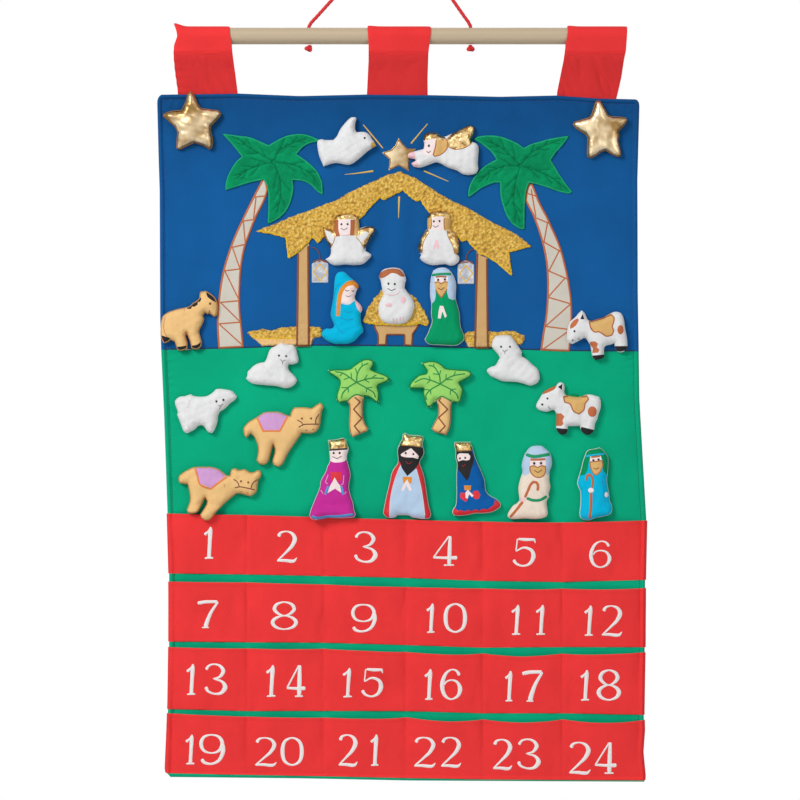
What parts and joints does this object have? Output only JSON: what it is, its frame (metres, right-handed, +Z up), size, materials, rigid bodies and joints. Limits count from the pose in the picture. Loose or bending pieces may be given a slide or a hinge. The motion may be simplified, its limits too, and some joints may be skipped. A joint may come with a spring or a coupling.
{
  "type": "fabric advent calendar",
  "caption": "Quilted wall hanging on a wooden dowel and cord, with a night scene of felt figures that peel off and rows of red numbered pockets for small gifts.",
  "frame": {"origin": "the point on the wall hook where the cord's underside rests, straight above the banner's middle", "axes": "+Z up, +X to the right as seen from the room, the front faces -Y and the wall is on the +Y side"},
  "size_m": [0.441, 0.0241, 0.771],
  "materials": {
    "pale_wood": "satin, lightly sanded, unvarnished",
    "red_cord": "twisted cotton cord",
    "red_cotton": "matt plain cotton",
    "green_lining": "matt plain cotton",
    "wadding": "loose polyester wadding",
    "blue_cotton": "matt plain cotton",
    "green_cotton": "matt plain cotton",
    "bark_cotton": "matt cotton with satin stitch",
    "gold_boucle": "looped gold cloth",
    "gold_lame": "metallic gold lame",
    "silver_lame": "metallic silver lame",
    "tan_felt": "matt felt",
    "white_felt": "matt felt",
    "turquoise_felt": "matt felt",
    "green_felt": "matt felt",
    "lime_felt": "matt felt",
    "magenta_felt": "matt felt",
    "pale_blue_felt": "matt felt",
    "royal_blue_felt": "matt felt",
    "cream_felt": "matt felt"
  },
  "bodies": {
    "hanger": {"dowel_rod": "pale_wood", "hanging_cord": "red_cord", "cord_knot_left": "red_cord", "cord_knot_right": "red_cord"},
    "banner": {"tab_left": "red_cotton", "tab_center": "red_cotton", "tab_right": "red_cotton", "back_panel": "green_lining", "batting": "wadding", "sky_panel": "blue_cotton", "ground_panel": "green_cotton", "pocket_row_1": "red_cotton", "pocket_row_2": "red_cotton", "pocket_row_3": "red_cotton", "pocket_row_4": "red_cotton", "palm_crown_left": "green_cotton", "palm_crown_right": "green_cotton", "palm_trunk_left": "bark_cotton", "palm_trunk_right": "bark_cotton", "stable_roof": "gold_boucle", "stable_post_left": "tan_felt", "stable_post_right": "tan_felt", "lantern_left": "silver_lame", "lantern_right": "silver_lame", "hay_pile_left": "gold_boucle", "hay_pile_right": "gold_boucle", "manger_stand": "tan_felt", "manger_hay": "gold_boucle", "center_star": "gold_lame"},
    "gold_star_left": {"gold_star_left": "gold_lame"},
    "gold_star_right": {"gold_star_right": "gold_lame"},
    "dove": {"dove": "white_felt"},
    "angel_flying": {"angel_flying": "white_felt"},
    "angel_arms_raised": {"angel_arms_raised": "white_felt"},
    "angel_hands_folded": {"angel_hands_folded": "white_felt"},
    "donkey": {"donkey": "tan_felt"},
    "kneeling_mother": {"kneeling_mother": "turquoise_felt"},
    "infant_figure": {"infant_figure": "white_felt"},
    "father_figure": {"father_figure": "green_felt"},
    "cow_upper": {"cow_upper": "white_felt"},
    "cow_lower": {"cow_lower": "white_felt"},
    "sheep_left": {"sheep_left": "white_felt"},
    "sheep_standing": {"sheep_standing": "white_felt"},
    "sheep_right": {"sheep_right": "white_felt"},
    "camel_back": {"camel_back": "tan_felt"},
    "camel_front": {"camel_front": "tan_felt"},
    "small_palm_left": {"small_palm_left": "lime_felt"},
    "small_palm_right": {"small_palm_right": "lime_felt"},
    "king_magenta": {"king_magenta": "magenta_felt"},
    "king_caped": {"king_caped": "pale_blue_felt"},
    "king_blue": {"king_blue": "royal_blue_felt"},
    "shepherd_cream": {"shepherd_cream": "cream_felt"},
    "shepherd_turquoise": {"shepherd_turquoise": "turquoise_felt"}
  },
  "joints": [
    {"name": "banner_swing", "type": "hinge", "parent": "hanger", "child": "banner", "pos_m": [0, 0, -0.0972], "axis": [1, 0, 0], "range_deg": [-90, 90]},
    {"name": "gold_star_left_lift_off", "type": "slide", "parent": "banner", "child": "gold_star_left", "axis": [0, -1, 0], "range_m": [0, 0.06]},
    {"name": "gold_star_right_lift_off", "type": "slide", "parent": "banner", "child": "gold_star_right", "axis": [0, -1, 0], "range_m": [0, 0.06]},
    {"name": "dove_lift_off", "type": "slide", "parent": "banner", "child": "dove", "axis": [0, -1, 0], "range_m": [0, 0.06]},
    {"name": "angel_flying_lift_off", "type": "slide", "parent": "banner", "child": "angel_flying", "axis": [0, -1, 0], "range_m": [0, 0.06]},
    {"name": "angel_arms_raised_lift_off", "type": "slide", "parent": "banner", "child": "angel_arms_raised", "axis": [0, -1, 0], "range_m": [0, 0.06]},
    {"name": "angel_hands_folded_lift_off", "type": "slide", "parent": "banner", "child": "angel_hands_folded", "axis": [0, -1, 0], "range_m": [0, 0.06]},
    {"name": "donkey_lift_off", "type": "slide", "parent": "banner", "child": "donkey", "axis": [0, -1, 0], "range_m": [0, 0.06]},
    {"name": "kneeling_mother_lift_off", "type": "slide", "parent": "banner", "child": "kneeling_mother", "axis": [0, -1, 0], "range_m": [0, 0.06]},
    {"name": "infant_figure_lift_off", "type": "slide", "parent": "banner", "child": "infant_figure", "axis": [0, -1, 0], "range_m": [0, 0.06]},
    {"name": "father_figure_lift_off", "type": "slide", "parent": "banner", "child": "father_figure", "axis": [0, -1, 0], "range_m": [0, 0.06]},
    {"name": "cow_upper_lift_off", "type": "slide", "parent": "banner", "child": "cow_upper", "axis": [0, -1, 0], "range_m": [0, 0.06]},
    {"name": "cow_lower_lift_off", "type": "slide", "parent": "banner", "child": "cow_lower", "axis": [0, -1, 0], "range_m": [0, 0.06]},
    {"name": "sheep_left_lift_off", "type": "slide", "parent": "banner", "child": "sheep_left", "axis": [0, -1, 0], "range_m": [0, 0.06]},
    {"name": "sheep_standing_lift_off", "type": "slide", "parent": "banner", "child": "sheep_standing", "axis": [0, -1, 0], "range_m": [0, 0.06]},
    {"name": "sheep_right_lift_off", "type": "slide", "parent": "banner", "child": "sheep_right", "axis": [0, -1, 0], "range_m": [0, 0.06]},
    {"name": "camel_back_lift_off", "type": "slide", "parent": "banner", "child": "camel_back", "axis": [0, -1, 0], "range_m": [0, 0.06]},
    {"name": "camel_front_lift_off", "type": "slide", "parent": "banner", "child": "camel_front", "axis": [0, -1, 0], "range_m": [0, 0.06]},
    {"name": "small_palm_left_lift_off", "type": "slide", "parent": "banner", "child": "small_palm_left", "axis": [0, -1, 0], "range_m": [0, 0.06]},
    {"name": "small_palm_right_lift_off", "type": "slide", "parent": "banner", "child": "small_palm_right", "axis": [0, -1, 0], "range_m": [0, 0.06]},
    {"name": "king_magenta_lift_off", "type": "slide", "parent": "banner", "child": "king_magenta", "axis": [0, -1, 0], "range_m": [0, 0.06]},
    {"name": "king_caped_lift_off", "type": "slide", "parent": "banner", "child": "king_caped", "axis": [0, -1, 0], "range_m": [0, 0.06]},
    {"name": "king_blue_lift_off", "type": "slide", "parent": "banner", "child": "king_blue", "axis": [0, -1, 0], "range_m": [0, 0.06]},
    {"name": "shepherd_cream_lift_off", "type": "slide", "parent": "banner", "child": "shepherd_cream", "axis": [0, -1, 0], "range_m": [0, 0.06]},
    {"name": "shepherd_turquoise_lift_off", "type": "slide", "parent": "banner", "child": "shepherd_turquoise", "axis": [0, -1, 0], "range_m": [0, 0.06]}
  ]
}
